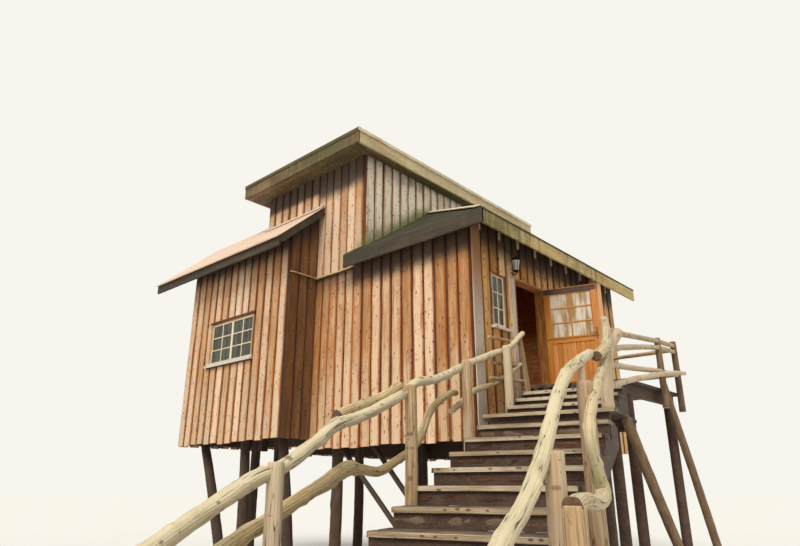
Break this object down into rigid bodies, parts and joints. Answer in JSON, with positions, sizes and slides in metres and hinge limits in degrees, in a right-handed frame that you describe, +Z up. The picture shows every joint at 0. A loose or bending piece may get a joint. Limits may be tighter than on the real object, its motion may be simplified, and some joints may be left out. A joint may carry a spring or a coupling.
{
  "type": "tree house on log posts with a log-railed stair",
  "caption": "Timber tree house on log posts with a log-railed stair, a porch, a side bay and an open glazed door on hinges.",
  "frame": {"origin": "centre of the foot of the corner post, on the ground", "axes": "+X along the entrance wall away from the corner, +Y along the front wall, +Z up"},
  "size_m": [12.7933, 12.7067, 9.742],
  "materials": {
    "siding": "weathered, rough sawn",
    "dark_log": "rough bark, dark",
    "pale_log": "debarked, weathered",
    "stair_wood": "rough, dark with pale edges",
    "deck_wood": "weathered",
    "floor_wood": "matt",
    "frame_wood": "rough",
    "roof_felt": "mossy felt",
    "roof_sheet": "corrugated, weathered",
    "fascia_brown": "stained",
    "fascia_light": "weathered, mossy",
    "joinery": "weathered",
    "door_wood": "varnished",
    "glass": "clear",
    "iron": "black"
  },
  "bodies": {
    "house": {"back_wall": "siding", "bay_back_wall": "siding", "bay_end_wall": "siding", "bay_fascias": "fascia_light", "bay_front_wall": "siding", "bay_return_wall": "siding", "bay_roof": "roof_sheet", "deck_beams": "deck_wood", "deck_logs": "dark_log", "door_frame": "joinery", "door_hinge_pins": "iron", "door_rack": "pale_log", "drip_ledge": "fascia_light", "eaves_rafters": "frame_wood", "entrance_fascias": "fascia_light", "entrance_roof": "roof_felt", "entrance_wall_left": "siding", "entrance_wall_over_door": "siding", "entrance_wall_right": "siding", "entrance_wall_under_door": "siding", "floor_bearers": "frame_wood", "floor_deck": "floor_wood", "floor_joists": "frame_wood", "forked_post": "pale_log", "front_wall": "siding", "landing_deck": "deck_wood", "lantern_glass": "glass", "lantern_metal": "iron", "leaning_braces": "dark_log", "left_rail_posts": "pale_log", "left_rails": "pale_log", "main_fascias": "fascia_brown", "main_roof": "roof_felt", "main_soffit": "frame_wood", "porch_deck": "deck_wood", "porch_post": "door_wood", "porch_rail_posts": "pale_log", "porch_rails": "pale_log", "porch_struts": "dark_log", "right_end_wall": "siding", "right_rail_posts": "pale_log", "right_rails": "pale_log", "stair_risers": "stair_wood", "stair_stringers": "stair_wood", "stair_treads": "stair_wood", "support_posts": "dark_log", "upper_front_wall": "siding", "upper_side_wall": "siding", "upper_step_frame": "stair_wood", "upper_steps": "stair_wood", "window_frames": "joinery", "window_glass": "glass", "window_sills": "joinery"},
    "door_leaf": {"door_glass": "glass", "door_hardware": "iron", "door_leaf": "door_wood", "door_panel": "door_wood"}
  },
  "joints": [
    {"name": "door_hinge", "type": "hinge", "parent": "house", "child": "door_leaf", "pos_m": [1.936, -0.4645, 4.3], "axis": [0, 0, 1], "range_deg": [-105, 15]}
  ]
}
